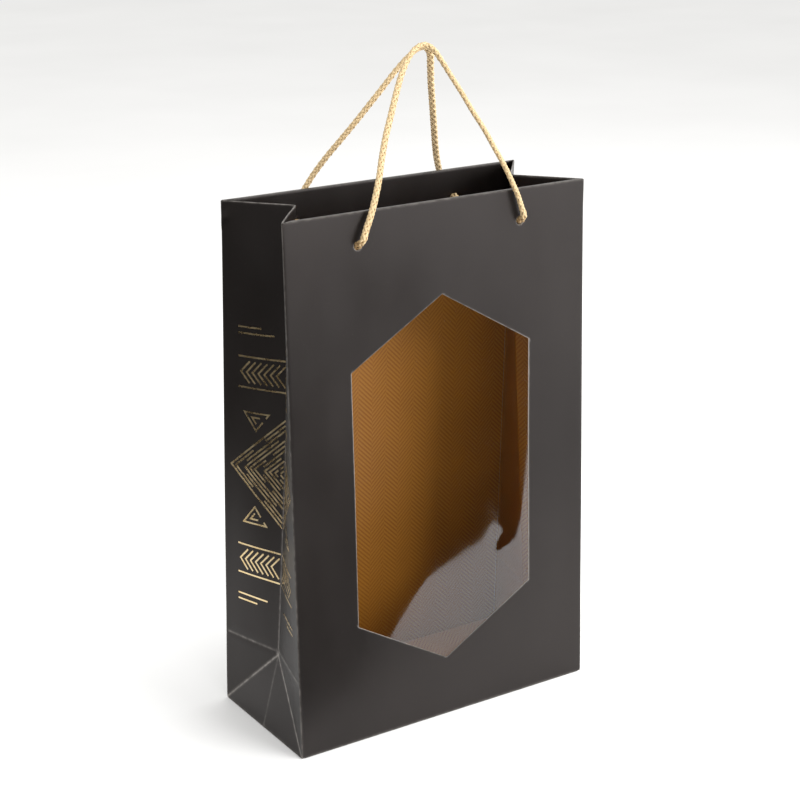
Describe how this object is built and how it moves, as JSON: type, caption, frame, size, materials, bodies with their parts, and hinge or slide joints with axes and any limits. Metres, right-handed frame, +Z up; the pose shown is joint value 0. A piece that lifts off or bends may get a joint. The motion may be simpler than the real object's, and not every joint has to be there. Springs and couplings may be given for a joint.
{
  "type": "wine gift bag",
  "caption": "Tall folded-paper gift bag for wine bottles, with a six-sided film window, gold line pattern on V-folded gussets and braided rope loop handles.",
  "frame": {"origin": "middle of the base on the surface that the bag stands on", "axes": "+X to the right along the front panel, -Y out of the front panel, +Z up"},
  "size_m": [0.22, 0.1, 0.4305],
  "materials": {
    "black_paper": "matt laminated black card paper with a soft sheen and worn light creases",
    "lining": "amber-gold inner face with a faint herringbone print",
    "board": "plain grey-brown board",
    "clear_film": "clear glossy polyester film",
    "gold_foil": "hot-stamped gold foil",
    "rope": "straw-gold braided cord with a silky sheen"
  },
  "bodies": {
    "bag": {"front_panel": "black_paper", "back_panel": "black_paper", "left_gusset_front_half": "black_paper", "left_gusset_rear_half": "black_paper", "left_gusset_base_triangle": "black_paper", "right_gusset_front_half": "black_paper", "right_gusset_rear_half": "black_paper", "right_gusset_base_triangle": "black_paper", "side_seam_flap": "black_paper", "front_bottom_flap": "black_paper", "rear_bottom_flap": "black_paper", "left_end_flap": "black_paper", "right_end_flap": "black_paper", "front_hem": "black_paper", "back_hem": "black_paper", "left_gusset_hem": "black_paper", "right_gusset_hem": "black_paper", "front_rim_board": "board", "back_rim_board": "board", "base_board": "lining", "window_film": "clear_film", "left_foil_pattern": "gold_foil", "right_foil_pattern": "gold_foil", "front_left_knot": "rope", "front_right_knot": "rope", "back_left_knot": "rope", "back_right_knot": "rope"},
    "front_handle": {"front_rope_loop": "rope"},
    "back_handle": {"back_rope_loop": "rope"}
  },
  "joints": [
    {"name": "front_handle_swing", "type": "hinge", "parent": "bag", "child": "front_handle", "pos_m": [0, -0.046, 0.32], "axis": [1, 0, 0], "range_deg": [0, 180]},
    {"name": "back_handle_swing", "type": "hinge", "parent": "bag", "child": "back_handle", "pos_m": [0, 0.0395, 0.32], "axis": [-1, 0, 0], "range_deg": [0, 180]}
  ]
}
